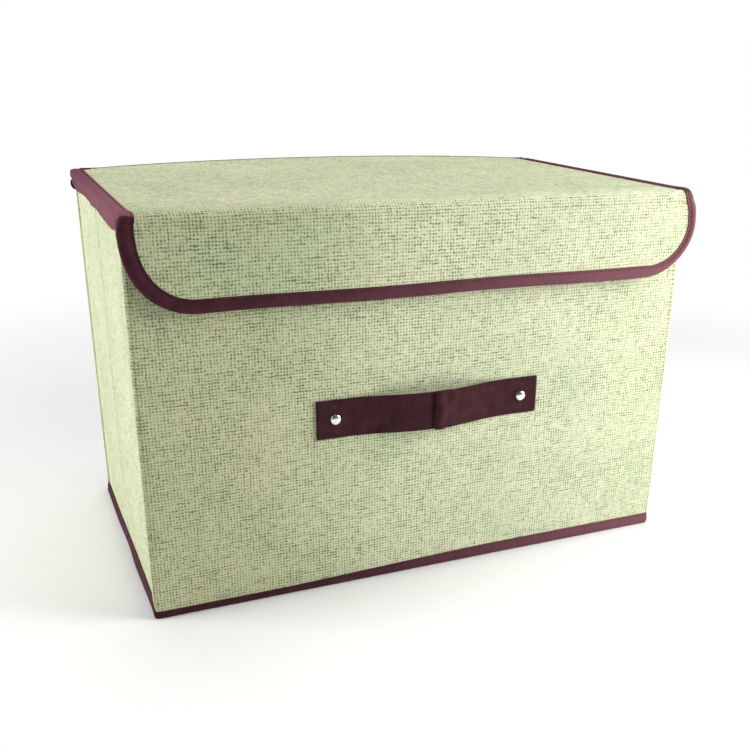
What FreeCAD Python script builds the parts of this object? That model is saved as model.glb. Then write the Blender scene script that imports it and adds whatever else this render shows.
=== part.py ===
"""Foldable fabric storage box with a lid, built as separate pieces.

All sizes are in millimetres. The origin is the centre of the box's footprint on
the surface it stands on. +X runs along the front to the right, +Y runs from the
front to the back, and +Z is up. The box is modelled open for use, with its lid
shut: the bellows sides are flat, and the two base leaves lie on the floor.
"""

import FreeCAD
import Part
import math
import os

V = FreeCAD.Vector

# Overall size of the box's body
body_width = 380.0
body_depth = 220.0
body_height = 250.0

# Layers of every stiffened panel, from the outside in
cover_thickness = 0.6
board_thickness = 2.2
lining_thickness = 0.4
binding_thickness = 0.7

# Bias binding on the edges
base_binding_height = 7.5
rim_binding_height = 7.5
lid_binding_width = 8.0

# Lid panel and its front flap
lid_overhang = 3.0
lid_board_thickness = 3.0
flap_board_thickness = 2.4
flap_drop = 58.0
flap_corner_radius = 40.0
flap_standoff = 2.6
fold_radius = 6.0
fold_board_gap = 4.0
rear_binding_width = 6.0
hinge_tape_inset = 4.0

# Base leaves
leaf_board_thickness = 1.4
leaf_cloth_thickness = 0.4
gusset_thickness = 0.6

# Carrying strap on the front
strap_length = 160.0
strap_height = 26.0
strap_thickness = 1.6
strap_bow = 7.4
strap_centre_height = 120.5
tab_length = 24.5
pleat_half_width = 5.0
grip_half_width = 20.0
pleat_thickness = 3.2

# Rivets that hold the strap
rivet_spacing = 135.0
rivet_head_radius = 3.7
rivet_dome_height = 1.9
rivet_shank_radius = 1.6
washer_radius = 5.0
washer_thickness = 0.6
rivet_peen_radius = 2.4
rivet_peen_height = 0.5

# Running clearances and the furthest fold of the bellows, in degrees
joint_gap = 0.3
lid_gap = 0.3
leaf_side_clearance = 1.0
fold_limit = 82.0

# Values worked out from the sizes above
core_thickness = cover_thickness + board_thickness + lining_thickness
wall_thickness = core_thickness + 2 * binding_thickness
half_width = body_width / 2
half_depth = body_depth / 2
inner_half_width = half_width - wall_thickness
inner_half_depth = half_depth - wall_thickness
cover_face = half_depth - binding_thickness
leaf_thickness = leaf_board_thickness + 2 * leaf_cloth_thickness
lid_core_thickness = cover_thickness + lid_board_thickness + lining_thickness
lid_thickness = lid_core_thickness + 2 * binding_thickness
lid_bottom = body_height + lid_gap
lid_top = lid_bottom + lid_thickness
lid_half_width = half_width + lid_overhang
flap_core_thickness = cover_thickness + flap_board_thickness + lining_thickness
flap_thickness = flap_core_thickness + 2 * binding_thickness
flap_inner_face = -half_depth - flap_standoff
flap_outer_face = flap_inner_face - flap_thickness
flap_cover_face = flap_outer_face + binding_thickness
lid_front = flap_cover_face + fold_radius + joint_gap


def block(low, high):
    """A box between two opposite corners."""
    size = V(*high) - V(*low)
    return Part.makeBox(size.x, size.y, size.z, V(*low))


def prism(points, depth):
    """A straight prism on a closed polygon."""
    wire = Part.makePolygon([V(*p) for p in points] + [V(*points[0])])
    return Part.Face(wire).extrude(V(*depth))


def rod(centre, radius, length):
    """A round bar that runs from centre along +Y."""
    return Part.makeCylinder(radius, length, V(*centre), V(0, 1, 0))


def rivet_centres():
    """Where the two rivets cross the front wall, as (x, z) pairs."""
    return [(side * rivet_spacing / 2, strap_centre_height) for side in (-1, 1)]


def drill_for_rivets(solid):
    """Cuts the two rivet holes through a layer of the front wall."""
    for x, z in rivet_centres():
        start = (x, -half_depth - strap_thickness, z)
        solid = solid.cut(rod(start, rivet_shank_radius, 2 * wall_thickness))
    return solid


def save(name, shape):
    """Writes one node's solids to its own file."""
    shape.exportStep(os.path.join("parts", name + ".step"))


def wall_layers(along_start, along_end):
    """The five layers of an upright panel, lying along X with its outside at y = 0.

    The panel runs from along_start to along_end and stands inward, to +y. The
    bindings are channels that wrap the panel's bottom and top edges.
    """
    bottom = binding_thickness
    top = body_height - binding_thickness
    cover_y = binding_thickness
    board_y = cover_y + cover_thickness
    lining_y = board_y + board_thickness
    back_y = lining_y + lining_thickness

    def layer(low_y, high_y):
        return block((along_start, low_y, bottom), (along_end, high_y, top))

    core = block((along_start, cover_y, bottom), (along_end, back_y, top))

    def channel(low_z, high_z):
        outside = block((along_start, 0, low_z), (along_end, wall_thickness, high_z))
        return outside.cut(core)

    return {
        "cover": layer(cover_y, board_y),
        "board": layer(board_y, lining_y),
        "lining": layer(lining_y, back_y),
        "base_binding": channel(0, base_binding_height),
        "rim_binding": channel(body_height - rim_binding_height, body_height),
    }


def place(shape, turn, origin):
    """Turns a shape about Z, in degrees, then moves its own origin."""
    moved = shape.copy()
    moved.rotate(V(0, 0, 0), V(0, 0, 1), turn)
    moved.translate(V(*origin))
    return moved


def make_walls():
    """Front and back walls, and the four half panels of the bellows sides."""
    side_start = joint_gap / 2
    side_end = inner_half_depth - joint_gap
    walls = {
        "front": (-half_width, half_width, 0, (0, -half_depth, 0)),
        "back": (-half_width, half_width, 180, (0, half_depth, 0)),
        "right_front": (-side_end, -side_start, 90, (half_width, 0, 0)),
        "right_rear": (side_start, side_end, 90, (half_width, 0, 0)),
        "left_rear": (-side_end, -side_start, -90, (-half_width, 0, 0)),
        "left_front": (side_start, side_end, -90, (-half_width, 0, 0)),
    }
    for name, (start, end, turn, origin) in walls.items():
        for layer, shape in wall_layers(start, end).items():
            shape = place(shape, turn, origin)
            if name == "front" and not layer.endswith("binding"):
                shape = drill_for_rivets(shape)
            save(name + "_" + layer, shape)


def leaf_inset():
    """How far a leaf's corner stays from the side wall, so the folded panel passes."""
    limit = math.radians(fold_limit)
    return leaf_thickness * math.sin(limit) * math.tan(limit) + leaf_side_clearance


def leaf_outline(z, side):
    """A base leaf seen from above: a trapezoid with ends mitred at 45 degrees."""
    long_y = side * (inner_half_depth - joint_gap)
    short_y = side * joint_gap / 2
    long_x = inner_half_width - leaf_inset()
    short_x = long_x - abs(long_y - short_y)
    return [(-long_x, long_y, z), (long_x, long_y, z), (short_x, short_y, z), (-short_x, short_y, z)]


def gusset_outline(z, side_x, side_y):
    """The cloth between a leaf's mitred end and the half panel beside it."""
    wall_x = side_x * (inner_half_width - joint_gap)
    rear_y = side_y * (inner_half_depth - joint_gap)
    mid_y = side_y * joint_gap / 2
    leaf_x = side_x * (inner_half_width - leaf_inset() + joint_gap)
    centre_x = leaf_x - side_x * abs(rear_y - mid_y)
    return [(wall_x, rear_y, z), (leaf_x, rear_y, z), (centre_x, mid_y, z), (wall_x, mid_y, z)]


def make_base():
    """Two stiff leaves that lift at the middle, and the soft gussets beside them."""
    levels = {
        "cloth": (0, leaf_cloth_thickness),
        "board": (leaf_cloth_thickness, leaf_board_thickness),
        "lining": (leaf_cloth_thickness + leaf_board_thickness, leaf_cloth_thickness),
    }
    for name, side in (("rear", 1), ("front", -1)):
        for layer, (z, thickness) in levels.items():
            save("base_" + name + "_" + layer, prism(leaf_outline(z, side), (0, 0, thickness)))
    gusset_z = leaf_thickness - gusset_thickness
    for x_name, side_x in (("left", -1), ("right", 1)):
        for y_name, side_y in (("rear", 1), ("front", -1)):
            outline = gusset_outline(gusset_z, side_x, side_y)
            save("gusset_" + x_name + "_" + y_name, prism(outline, (0, 0, gusset_thickness)))


def make_lid():
    """The lid panel, its edge bindings, and the cloth that hinges it to the back wall."""
    board_half_width = lid_half_width - binding_thickness
    core_z = lid_bottom + binding_thickness
    board_z = core_z + lining_thickness
    cover_z = board_z + lid_board_thickness
    core_top = cover_z + cover_thickness
    rear_y = half_depth - binding_thickness

    def layer(low_z, high_z):
        return block((-board_half_width, lid_front, low_z), (board_half_width, rear_y, high_z))

    save("lid_lining", layer(core_z, board_z))
    save("lid_board", layer(board_z, cover_z))
    save("lid_cover", layer(cover_z, core_top))

    core = layer(core_z, core_top)
    rear_start = half_depth - rear_binding_width
    for name, side in (("left", -1), ("right", 1)):
        inner_x = side * (lid_half_width - lid_binding_width)
        outer_x = side * lid_half_width
        low = (min(inner_x, outer_x), lid_front, lid_bottom)
        high = (max(inner_x, outer_x), rear_start, lid_top)
        save("lid_" + name + "_binding", block(low, high).cut(core))

    rear = block((-lid_half_width, rear_start, lid_bottom), (lid_half_width, half_depth, lid_top))
    save("lid_rear_binding", rear.cut(core))


def flap_outline(inset, top_z):
    """The flap's front view: straight top, sides and bottom, with round lower corners."""
    side_x = lid_half_width - inset
    bottom_z = lid_top - flap_drop + inset
    radius = flap_corner_radius - inset
    turn = radius * math.sqrt(0.5)
    edges = [Part.LineSegment(V(-side_x, 0, top_z), V(side_x, 0, top_z))]
    edges.append(Part.LineSegment(V(side_x, 0, top_z), V(side_x, 0, bottom_z + radius)))
    right = V(side_x - radius, 0, bottom_z + radius)
    edges.append(Part.Arc(right + V(radius, 0, 0), right + V(turn, 0, -turn), right + V(0, 0, -radius)))
    edges.append(Part.LineSegment(V(side_x - radius, 0, bottom_z), V(radius - side_x, 0, bottom_z)))
    left = V(radius - side_x, 0, bottom_z + radius)
    edges.append(Part.Arc(left + V(0, 0, -radius), left + V(-turn, 0, -turn), left + V(-radius, 0, 0)))
    edges.append(Part.LineSegment(V(-side_x, 0, bottom_z + radius), V(-side_x, 0, top_z)))
    return Part.Wire([edge.toShape() for edge in edges])


def flap_slab(inset, top_z, front_y, thickness):
    """A flat piece with the flap's outline, from front_y inward."""
    slab = Part.Face(flap_outline(inset, top_z)).extrude(V(0, thickness, 0))
    slab.translate(V(0, front_y, 0))
    return slab


def make_flap():
    """The front flap, its binding, and the cloth that folds over the lid's front edge."""
    top_z = lid_bottom - fold_board_gap
    board_y = flap_cover_face + cover_thickness
    lining_y = board_y + flap_board_thickness
    save("flap_cover", flap_slab(binding_thickness, top_z, flap_cover_face, cover_thickness))
    save("flap_board", flap_slab(binding_thickness, top_z, board_y, flap_board_thickness))
    save("flap_lining", flap_slab(binding_thickness, top_z, lining_y, lining_thickness))

    ring = flap_slab(0, top_z, flap_outer_face, flap_thickness)
    core = flap_slab(binding_thickness, top_z, flap_cover_face, flap_core_thickness)
    window = flap_slab(lid_binding_width, top_z, flap_outer_face, flap_thickness)
    save("flap_binding", ring.cut(core).cut(window))

    save("flap_fold_cloth", fold_cloth(top_z + joint_gap))


def fold_cloth(low_z):
    """The cover where it rounds the lid's front edge, from the lid down to the flap."""
    inner = fold_radius - cover_thickness
    centre = V(0, flap_cover_face + fold_radius, lid_top - binding_thickness - fold_radius)
    turn = math.sqrt(0.5)
    outer_foot = V(0, flap_cover_face, low_z)
    inner_foot = V(0, flap_cover_face + cover_thickness, low_z)
    outer_side = centre + V(0, -fold_radius, 0)
    inner_side = centre + V(0, -inner, 0)
    outer_top = centre + V(0, 0, fold_radius)
    inner_top = centre + V(0, 0, inner)
    edges = [
        Part.Arc(outer_top, centre + V(0, -fold_radius * turn, fold_radius * turn), outer_side),
        Part.LineSegment(outer_side, outer_foot),
        Part.LineSegment(outer_foot, inner_foot),
        Part.LineSegment(inner_foot, inner_side),
        Part.Arc(inner_side, centre + V(0, -inner * turn, inner * turn), inner_top),
        Part.LineSegment(inner_top, outer_top),
    ]
    wire = Part.Wire([edge.toShape() for edge in edges])
    half = lid_half_width - binding_thickness
    cloth = Part.Face(wire).extrude(V(2 * half, 0, 0))
    cloth.translate(V(-half, 0, 0))
    return cloth


def make_hinge_tape():
    """The cloth tape behind the box that joins the lid to the back wall."""
    half = half_width - hinge_tape_inset
    low = (-half, half_depth, body_height - rim_binding_height)
    save("lid_hinge_tape", block(low, (half, half_depth + cover_thickness, lid_top)))


def strap_offset(x):
    """How far the strap's inner face stands off the front cover at a place along X."""
    seam_x = strap_length / 2 - tab_length
    share = (seam_x - abs(x)) / (seam_x - pleat_half_width)
    return strap_bow * max(0, min(1, share))


def strap_point(x, out):
    """A point on the strap's lower edge, out from its inner face."""
    return (x, -cover_face - strap_offset(x) - out, strap_centre_height - strap_height / 2)


def strap_slab(stations):
    """A length of strap through the given places along X."""
    inner = [strap_point(x, 0) for x in stations]
    outer = [strap_point(x, strap_thickness) for x in reversed(stations)]
    return prism(inner + outer, (0, 0, strap_height))


def make_strap():
    """The strap: two sewn end tabs, two bowed halves, the grip and its pleat."""
    seam_x = strap_length / 2 - tab_length
    for name, side in (("left", -1), ("right", 1)):
        tab = strap_slab(sorted([side * seam_x, side * strap_length / 2]))
        save("strap_tab_" + name, drill_for_rivets(tab))
        near_grip = side * (grip_half_width + joint_gap)
        save("strap_" + name, strap_slab(sorted([near_grip, side * seam_x])))

    bends = [-grip_half_width, -pleat_half_width, pleat_half_width, grip_half_width]
    save("strap_grip", strap_slab(bends))

    back = V(*strap_point(0, strap_thickness))
    tip = V(*strap_point(grip_half_width, strap_thickness))
    bend = V(*strap_point(pleat_half_width, strap_thickness))
    round_radius = pleat_thickness / 2
    front = back + V(0, -pleat_thickness, 0)
    side = back + V(-round_radius, -round_radius, 0)
    edges = [
        Part.Arc(back, side, front),
        Part.LineSegment(front, tip),
        Part.LineSegment(tip, bend),
        Part.LineSegment(bend, back),
    ]
    wire = Part.Wire([edge.toShape() for edge in edges])
    save("strap_pleat", Part.Face(wire).extrude(V(0, 0, strap_height)))


def make_rivets():
    """Two domed rivets through the tabs and the front wall, each over a washer inside."""
    tab_y = -cover_face - strap_thickness
    lining_y = -cover_face + core_thickness
    washer_y = lining_y + washer_thickness
    sphere_radius = (rivet_head_radius**2 + rivet_dome_height**2) / (2 * rivet_dome_height)
    rivets = []
    washers = []
    for x, z in rivet_centres():
        centre = V(x, tab_y + sphere_radius - rivet_dome_height, z)
        ball = Part.makeSphere(sphere_radius, centre)
        dome = ball.common(rod((x, tab_y - rivet_dome_height, z), rivet_head_radius, rivet_dome_height))
        shank = rod((x, tab_y, z), rivet_shank_radius, washer_y - tab_y)
        peen = rod((x, washer_y, z), rivet_peen_radius, rivet_peen_height)
        rivets.append(dome.fuse([shank, peen]).removeSplitter())
        hole = rod((x, lining_y, z), rivet_shank_radius, washer_thickness)
        washers.append(rod((x, lining_y, z), washer_radius, washer_thickness).cut(hole))
    save("rivets", Part.makeCompound(rivets))
    save("rivet_washers", Part.makeCompound(washers))


os.makedirs("parts", exist_ok=True)
for make in (make_walls, make_base, make_lid, make_hinge_tape, make_flap, make_strap, make_rivets):
    make()
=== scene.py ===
"""Looks of the foldable storage box: cloth, bindings, stitches, strap and rivets.

Lengths are in millimetres in the row frame, and become metres where a mesh is made. Cloth pieces
are grids whose UV map gives the place on the flat cloth in millimetres, so the print and weave
keep their real scale and stay with the cloth in every pose.
"""

import bpy
from math import copysign, cos, exp, hypot, pi, radians, sin, sqrt, tau
from mathutils import Matrix, Vector


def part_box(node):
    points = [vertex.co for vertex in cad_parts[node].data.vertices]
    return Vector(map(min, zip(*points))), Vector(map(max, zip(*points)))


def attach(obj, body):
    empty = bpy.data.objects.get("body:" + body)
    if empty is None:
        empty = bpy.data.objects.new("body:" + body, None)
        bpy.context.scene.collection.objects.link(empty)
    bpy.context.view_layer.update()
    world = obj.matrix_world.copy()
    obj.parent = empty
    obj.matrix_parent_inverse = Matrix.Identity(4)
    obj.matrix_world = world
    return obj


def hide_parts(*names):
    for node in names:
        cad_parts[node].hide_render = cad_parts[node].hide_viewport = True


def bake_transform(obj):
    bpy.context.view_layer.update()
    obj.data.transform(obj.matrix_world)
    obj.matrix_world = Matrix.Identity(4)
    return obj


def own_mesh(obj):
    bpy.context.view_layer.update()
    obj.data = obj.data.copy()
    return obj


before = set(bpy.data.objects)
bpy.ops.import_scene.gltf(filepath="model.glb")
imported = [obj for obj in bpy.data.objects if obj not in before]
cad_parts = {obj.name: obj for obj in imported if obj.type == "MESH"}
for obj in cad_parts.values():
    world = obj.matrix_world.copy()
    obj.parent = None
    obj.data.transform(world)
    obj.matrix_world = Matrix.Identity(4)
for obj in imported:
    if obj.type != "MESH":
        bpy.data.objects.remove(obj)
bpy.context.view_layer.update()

MM = 0.001
RIGHT = Vector((1, 0, 0))
BACK = Vector((0, 1, 0))
UP = Vector((0, 0, 1))
SIDES = (("left", -1), ("right", 1))
ENDS = (("front", -1), ("rear", 1))


def mix(a, b, share):
    """A value between a and b."""
    return a + (b - a) * share


def clamp(share):
    """A share kept from 0 to 1."""
    return max(0.0, min(1.0, share))


def ease(share):
    """A smooth step from 0 to 1."""
    share = clamp(share)
    return share * share * (3 - 2 * share)


def steps(start, end, count):
    """count + 1 even values from start to end."""
    return [mix(start, end, i / count) for i in range(count + 1)]


def angles(start, end, count):
    """count + 1 even angles from start to end degrees, in radians."""
    return [radians(a) for a in steps(start, end, count)]


def box(name):
    """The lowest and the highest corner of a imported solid."""
    low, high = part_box(name)
    return Vector(low) / MM, Vector(high) / MM


def fold_normal(angle):
    """The direction out of the fold between lid and flap, turned forward by an angle."""
    return Vector((0, -sin(angle), cos(angle)))


# Planes of the imported solids
binding_low, binding_high = box("front_base_binding")
half_width = binding_high.x
half_depth = -binding_low.y
base_height = binding_high.z
wall_thickness = binding_high.y - binding_low.y
inner_half_depth = half_depth - wall_thickness
body_height = box("front_rim_binding")[1].z
cover_low = box("front_cover")[0]
tape = cover_low.z
cover_out = -(cover_low.y + half_depth)
lining_out = -(box("front_lining")[1].y + half_depth)
side_low, side_high = box("left_rear_cover")
panel_near = side_low.y
panel_far = side_high.y
lid_low, lid_high = box("lid_rear_binding")
lid_half_width = lid_high.x
lid_front = box("lid_cover")[0].y
lid_cover_top = box("lid_cover")[1].z
fold_low, fold_high = box("flap_fold_cloth")
fold_radius = fold_high.y - fold_low.y
fold_centre = Vector((0, fold_high.y, fold_high.z - fold_radius))
flap_low, flap_high = box("flap_binding")
flap_thickness = flap_high.y - flap_low.y
flap_face = box("flap_cover")[0].y

# Sizes that only the looks need. Left is -1 and right is 1
cloth_thickness = 0.3
lid_cloth_thickness = 0.4
lining_thickness = 0.25
weave_pitch = 2.0
# The period of the painted shade along the cover's UV: the cover's threads are painted darkest at its
# start, and not at all half way.
shade_period = 836.0
# back_print_start and lid_print_start also set where the painted shade falls on the back wall and on the
# flap.
back_print_start = 700.0
lid_print_start = 2700.0
# Where the lid's left tape starts on the tape's painted sheen ramp.
lid_tape_sheen_start = 210.0
strap_back_start = 60
lid_crown = 5.3
flap_radius = {-1: 42.0, 1: 35.0}
flap_bulge = {-1: -1.4, 1: 2.5}
side_bow = {-1: 0.3, 1: 1.5}
lid_swell = {-1: 0.7, 1: 0.25}
binding_width = 8.3
fold_inset = 2.6
fold_thickness = 5.0
fold_lining_share = 0.985
fold_turn = fold_centre + fold_normal(radians(45)) * (fold_radius - 0.55)
half_fold_steps = 8
side_flare = 1.7
seam_inset = 1.5
seam_depth = -0.22
corner_radius = 2.0
left_corner_tape = 11.5
left_side_tape = 12.0
stitch_pitch = 3.2
thread_radius = 0.22
seam_thread_radius = 0.28
strap_pitch = 2.6
hem = 2.2
cover_inset = 0.6
lid_lining_inset = 3.0
lid_board_inset = 2.8
flap_board_inset = 1.0
hinge_tape_end = 13
hinge_tape_opening = 3.3
leaf_cloth_drop = 1.8
leaf_seam_half = 60
leaf_seam_inset = 3
rear_binding_inset = 2.6


# Materials

class Value:
    """A node's output, whose arithmetic adds Math nodes."""

    def __init__(self, maker, socket):
        self.maker = maker
        self.socket = socket

    def __add__(self, other):
        return self.maker.math("ADD", self, other)

    def __sub__(self, other):
        return self.maker.math("SUBTRACT", self, other)

    def __rsub__(self, other):
        return self.maker.math("SUBTRACT", other, self)

    def __mul__(self, other):
        return self.maker.math("MULTIPLY", self, other)


class Maker:
    """Adds nodes to a tree."""

    def __init__(self, tree):
        self.nodes = tree.nodes
        self.links = tree.links

    def put(self, socket, value):
        """Links a node's output, or sets a plain value."""
        if isinstance(value, Value):
            self.links.new(value.socket, socket)
        else:
            socket.default_value = value

    def add(self, kind, inputs=(), output=0, **settings):
        """Adds a node and returns one of its outputs. inputs are values by order or by name."""
        node = self.nodes.new("ShaderNode" + kind)
        for key, value in settings.items():
            setattr(node, key, value)
        for key, value in inputs.items() if isinstance(inputs, dict) else enumerate(inputs):
            self.put(node.inputs[key], value)
        return Value(self, node.outputs[output])

    def math(self, operation, *values):
        """A Math node."""
        return self.add("Math", values, operation=operation)

    def ray(self, *kinds):
        """1 for rays of the named kinds, and 0 for others."""
        seen = self.add("LightPath", output=kinds[0])
        for kind in kinds[1:]:
            seen = self.math("MAXIMUM", seen, self.add("LightPath", output=kind))
        return seen


class Shader(Maker):
    """A node material."""

    def __init__(self, name, roughness, metallic=0.0, sheen=0.0, gloss=0.5):
        self.material = bpy.data.materials.new(name)
        self.material.use_nodes = True
        super().__init__(self.material.node_tree)
        self.surface = self.nodes["Principled BSDF"]
        for key, value in (
            ("Roughness", roughness),
            ("Metallic", metallic),
            ("Sheen Weight", sheen),
            ("Sheen Roughness", 0.6),
            ("Specular IOR Level", gloss),
        ):
            self.put(self.surface.inputs[key], value)

    def span(self, value, low, high, out_low=0.0, out_high=1.0):
        """value mapped smoothly from low..high to out_low..out_high."""
        limits = {"From Min": low, "From Max": high, "To Min": out_low, "To Max": out_high}
        return self.add("MapRange", {"Value": value, **limits}, interpolation_type="SMOOTHSTEP")

    def cloth_place(self):
        """The place on the flat cloth, in millimetres, from the UV map."""
        return self.add("UVMap", uv_map="cloth")

    def object_place(self):
        """The place in the row frame, in millimetres, for solids with no UV map."""
        return self.scaled(self.add("TexCoord", output="Object"), (1 / MM,) * 3)

    def scaled(self, vector, factors, shift=(0, 0, 0)):
        """A vector scaled and moved."""
        return self.add("Mapping", {"Vector": vector, "Scale": factors, "Location": shift})

    def parts(self, vector):
        """x, y and z of a vector."""
        outputs = self.add("SeparateXYZ", [vector]).socket.node.outputs
        return [Value(self, socket) for socket in outputs]

    def noise(self, vector, scale=1.0, detail=2.0, rough=0.5):
        """Smooth noise from 0 to 1, with scale in features per millimetre."""
        inputs = {"Vector": vector, "Scale": scale, "Detail": detail, "Roughness": rough}
        return self.add("TexNoise", inputs, "Fac")

    def blend_colours(self, share, first, second):
        """A colour between two colours."""
        inputs = {0: share, 6: first, 7: second}
        return self.add("Mix", inputs, 2, data_type="RGBA", clamp_factor=True)

    def thread_gap(self, count, sharpness):
        """1 between two threads and 0 on a thread, where count is 1 more at each thread."""
        wave = self.math("COSINE", count * pi)
        return self.math("POWER", self.math("ABSOLUTE", wave), sharpness)

    def along_threads(self, line, along, seed):
        """Smooth noise that each thread or gap has to itself, slow along it."""
        return self.noise(self.add("CombineXYZ", (line * 3.7, along * 0.11, seed)))

    def finish(self, colour, height=None, depth=0.1, strength=0.6):
        """Sets the colour and the bump, and returns the material."""
        self.put(self.surface.inputs["Base Color"], colour)
        if height is not None:
            inputs = {"Strength": strength, "Distance": depth * MM, "Height": height}
            self.put(self.surface.inputs["Normal"], self.add("Bump", inputs))
        return self.material


def srgb(*levels):
    """A colour written as red, green and blue display values from 0 to 255."""
    def linear(level):
        return level / 12.92 if level <= 0.04045 else ((level + 0.055) / 1.055) ** 2.4
    return tuple(linear(level / 255) for level in levels) + (1.0,)


def linen_material():
    """Pale green cloth with a coarse woven look: light threads and darker gaps between them, with
    painted shade on the threads towards the left end of the front and of the flap.
    """
    s = Shader("cover_cloth", roughness=0.9, sheen=0.08, gloss=0.25)
    place = s.cloth_place()
    x, y, _ = s.parts(place)
    counts = []
    for value, stretch, shift in ((x, (0.02, 0.005, 1), (0, 0, 0)), (y, (0.005, 0.02, 1), (31, 17, 0))):
        sway = s.noise(s.scaled(place, stretch, shift)) * 4.0
        shake = s.noise(s.scaled(place, (0.35, 0.35, 1), shift)) * 2.0
        counts.append((value + (sway + shake)) * (1 / weave_pitch))
    column, row = [s.math("FLOOR", count) for count in counts]
    gap_column, gap_row = [s.math("ROUND", count) for count in counts]
    across, along = [s.thread_gap(count, 2.6) for count in counts]
    crossing = s.add("CombineXYZ", (gap_column, gap_row, 0.0))
    chance = s.add("TexWhiteNoise", {"Vector": crossing}, "Value")
    hole = across * along * (chance * 1.1 + 0.45)
    upright = s.span(s.along_threads(gap_column, y, 2.0), 0.45, 0.7, 0.12, 0.6)
    level = s.span(s.along_threads(gap_row, x, 8.0), 0.45, 0.7, 0.12, 0.75)
    slits = s.math("MAXIMUM", across * upright, along * level)
    uneven = s.along_threads(column, y, 14.0) + s.along_threads(row, x, 21.0)
    fleck = s.noise(place, 1.5, detail=3.0, rough=0.65)
    # Painted shade: turn is 1 where the shade period starts, at the left end of the front and of the
    # flap, and -1 half way. The lid takes an even middling share of it.
    turn = s.math("COSINE", x * (tau / shade_period))
    on_lid = s.span(y, -222.0, -198.0) * s.span(y, 0.0, -0.5)
    turn = turn + on_lid * (0.55 - turn)
    # The print's gaps darken in random patches and, as painted shade, more where turn is high.
    print_patch_and_shade = s.span(s.noise(place, 0.03, detail=3.0), 0.3, 0.72, 0.8, 1.12) * (turn * 0.14 + 0.81)
    dark = (hole + slits) * print_patch_and_shade + (uneven - 1.0) * 0.6 + (fleck - 0.5) * 0.35
    tone = s.span(s.noise(place, 0.014), 0.3, 0.7)
    thread = s.blend_colours(tone, srgb(229, 232, 196), srgb(218, 226, 188))
    # Painted shade: darker thread colours, blended in where turn is high.
    shaded = s.blend_colours(tone, srgb(210, 211, 171), srgb(198, 207, 166))
    thread = s.blend_colours(s.span(turn, 0.1, 1.0), thread, shaded)
    gap = s.blend_colours(tone, srgb(116, 122, 80), srgb(102, 118, 76))
    colour = s.blend_colours(s.span(dark, -0.15, 1.25), thread, gap)
    over = s.math("PINGPONG", column + row, 1.0)
    warp = (1.0 - across) * (over * 0.5 + 0.5)
    weft = (1.0 - along) * (over * -0.5 + 1.0)
    return s.finish(colour, s.math("MAXIMUM", warp, weft) + fleck * 0.3, depth=0.14)


def tape_material(name, dark, light, sheen):
    """Matt maroon tape: a fine felted nap and paler wear, and a painted sheen: it is painted paler mauve
    along the first half metre.
    """
    s = Shader(name, roughness=0.85, sheen=sheen, gloss=0.12)
    s.put(s.surface.inputs["Sheen Tint"], srgb(226, 140, 168))
    place = s.cloth_place()
    nap = s.noise(place, 2.6, detail=3.0, rough=0.6)
    worn = s.span(s.noise(place, 0.09, detail=4.0, rough=0.6), 0.35, 0.75)
    ribs = s.noise(s.scaled(place, (0.35, 3.0, 1)))
    colour = s.blend_colours(worn * 0.5 + nap * 0.45 + (ribs - 0.5) * 0.4, dark, light)
    # Painted sheen: the colour goes to a paler mauve along the cloth's UV x, from 60 to 460 mm.
    painted_sheen = s.span(s.parts(place)[0], 60.0, 460.0, 0.0, 0.75)
    colour = s.blend_colours(painted_sheen, colour, srgb(138, 91, 100))
    return s.finish(colour, nap + ribs * 0.6, depth=0.12)


def lining_material():
    """Plain non-woven lining: pale, with a fine grid of pressed bond points."""
    s = Shader("lining_cloth", roughness=0.88, sheen=0.1)
    place = s.cloth_place()
    x, y, _ = s.parts(place)
    bonds = s.thread_gap(x * (1 / 1.1), 6.0) * s.thread_gap(y * (1 / 0.9), 6.0)
    fibres = s.noise(s.scaled(place, (0.5, 2.2, 1)), detail=3.0, rough=0.7)
    cloud = s.noise(place, 0.06, detail=3.0)
    share = bonds * 0.45 + fibres * 0.3 + cloud * 0.25
    colour = s.blend_colours(share, srgb(236, 236, 226), srgb(196, 200, 186))
    return s.finish(colour, fibres * 0.4 - bonds, depth=0.08, strength=0.8)


def board_material():
    """Recycled grey paper board, with flecks and a fibrous cut edge."""
    s = Shader("greyboard", roughness=0.95)
    place = s.object_place()
    fleck = s.noise(place, 1.2, detail=4.0, rough=0.7)
    layers = s.noise(s.scaled(place, (0.2, 3.0, 0.2)))
    colour = s.blend_colours(fleck * 0.7 + layers * 0.3, srgb(150, 143, 130), srgb(108, 101, 90))
    return s.finish(colour, fleck)


def thread_material(name, dark, light):
    """Twisted sewing thread."""
    s = Shader(name, roughness=0.75, gloss=0.2)
    twist = s.noise(s.scaled(s.cloth_place(), (3.5, 1.2, 1)))
    return s.finish(s.blend_colours(twist, dark, light), twist, depth=0.05, strength=0.7)


def metal_material():
    """Polished nickel plate with faint handling marks."""
    s = Shader("rivet_metal", roughness=0.16, metallic=1.0)
    marks = s.noise(s.object_place(), 1.8, detail=4.0, rough=0.65)
    s.put(s.surface.inputs["Roughness"], s.span(marks, 0.35, 0.75, 0.1, 0.26))
    colour = s.blend_colours(marks, srgb(238, 238, 240), srgb(214, 214, 218))
    return s.finish(colour, marks, depth=0.01, strength=0.4)


LINEN = linen_material()
# The tape and the strap both get the painted sheen: paler mauve along their length.
TAPE = tape_material("binding_tape", srgb(48, 20, 27), srgb(84, 44, 54), 0.14)
STRAP = tape_material("strap_cloth", srgb(44, 20, 24), srgb(74, 40, 45), 0.1)
LINING = lining_material()
BOARD = board_material()
METAL = metal_material()
MAROON_THREAD = thread_material("maroon_thread", srgb(26, 10, 14), srgb(54, 28, 34))
OLIVE_THREAD = thread_material("olive_thread", srgb(150, 150, 70), srgb(196, 196, 112))


# Meshes

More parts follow.
